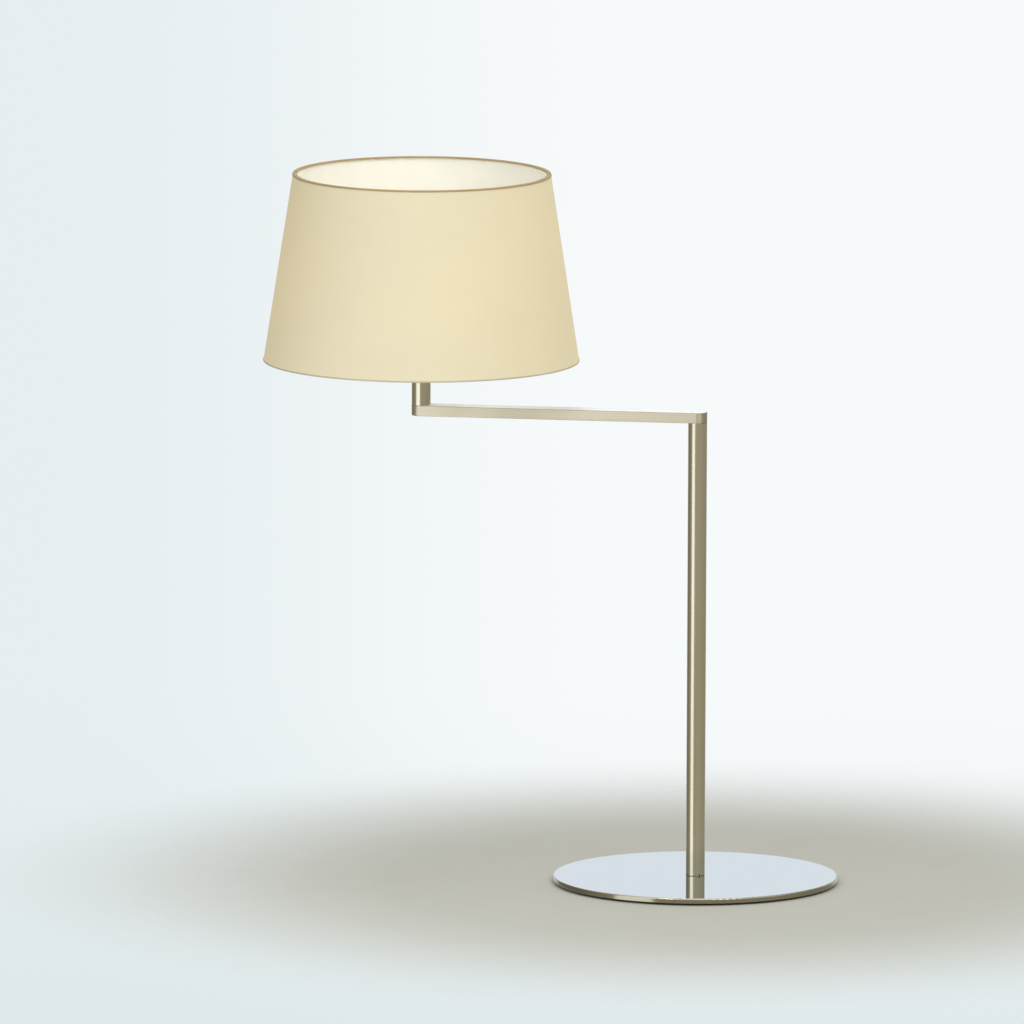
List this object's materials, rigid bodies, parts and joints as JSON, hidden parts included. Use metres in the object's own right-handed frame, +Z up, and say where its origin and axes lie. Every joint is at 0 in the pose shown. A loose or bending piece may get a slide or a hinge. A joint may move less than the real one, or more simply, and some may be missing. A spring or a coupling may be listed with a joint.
{
  "type": "swing-arm table lamp",
  "caption": "Table lamp: round flat base, straight pole, flat arm that turns on the pole, and a tapered drum shade that turns on a short stem at the arm's end.",
  "frame": {"origin": "centre of the base's underside, on the pole's axis", "axes": "+Z up along the pole; the arm lies along -X at rest"},
  "size_m": [0.55, 0.3, 0.672],
  "materials": {
    "mirror_nickel": "mirror-polished nickel plate, the edge a little softer",
    "satin_nickel": "satin nickel plate with a fine lengthwise grain",
    "plain_steel": "turned steel",
    "brass": "plain brass",
    "bulb_metal": "rolled aluminium",
    "black_felt": "dense black felt",
    "black_nylon": "matt nylon",
    "lead_sleeve": "glass-fibre sleeved leads",
    "white_plastic": "moulded lampholder plastic",
    "white_ceramic": "unglazed steatite",
    "frame_wire": "powder-coated wire",
    "shade_cloth": "cream cotton cloth bonded to a stiff lining, lit from inside",
    "shade_lining": "smooth white sheet",
    "edge_tape": "folded cloth tape",
    "bulb_glass": "frosted glass"
  },
  "bodies": {
    "base": {"base_plate": "mirror_nickel", "base_pad": "black_felt", "foot_screw": "plain_steel", "foot_pin": "plain_steel", "pole_tube": "satin_nickel", "pole_foot_plug": "plain_steel", "cord_bush": "black_nylon", "pole_top_plug": "plain_steel", "plug_screw": "plain_steel", "pole_stop_pin": "plain_steel", "pole_washer": "plain_steel", "pole_wires": "lead_sleeve"},
    "arm": {"arm_body": "satin_nickel", "arm_cover": "satin_nickel", "cover_screws": "plain_steel", "arm_pivot": "plain_steel", "pole_disc_spring": "plain_steel", "arm_wires": "lead_sleeve"},
    "head": {"stem_washer": "plain_steel", "stem_tube": "satin_nickel", "stem_foot_plug": "plain_steel", "stem_pivot": "plain_steel", "stem_disc_spring": "plain_steel", "stem_stop_pin": "plain_steel", "stem_top_plug": "plain_steel", "holder_nipple": "brass", "stem_wires": "lead_sleeve", "holder_cap": "white_plastic", "holder_insert": "white_ceramic", "holder_terminals": "brass", "terminal_screws": "plain_steel", "holder_shell": "white_plastic", "holder_thread": "brass", "holder_contact": "brass", "shade_ring": "white_plastic", "shade_frame": "frame_wire", "shade_bottom_wire": "frame_wire", "shade_top_wire": "frame_wire", "shade_cloth": "shade_cloth", "shade_lining": "shade_lining", "shade_top_tape": "edge_tape", "shade_bottom_tape": "edge_tape", "bulb_glass": "bulb_glass", "bulb_cap": "bulb_metal", "bulb_insulator": "black_nylon", "bulb_contact": "brass"}
  },
  "joints": [
    {"name": "arm_swing", "type": "hinge", "parent": "base", "child": "arm", "pos_m": [0, 0, 0.441], "axis": [0, 0, 1], "range_deg": [-160, 160]},
    {"name": "head_swivel", "type": "hinge", "parent": "arm", "child": "head", "pos_m": [-0.265, 0, 0.451], "axis": [0, 0, 1], "range_deg": [-160, 160]}
  ]
}
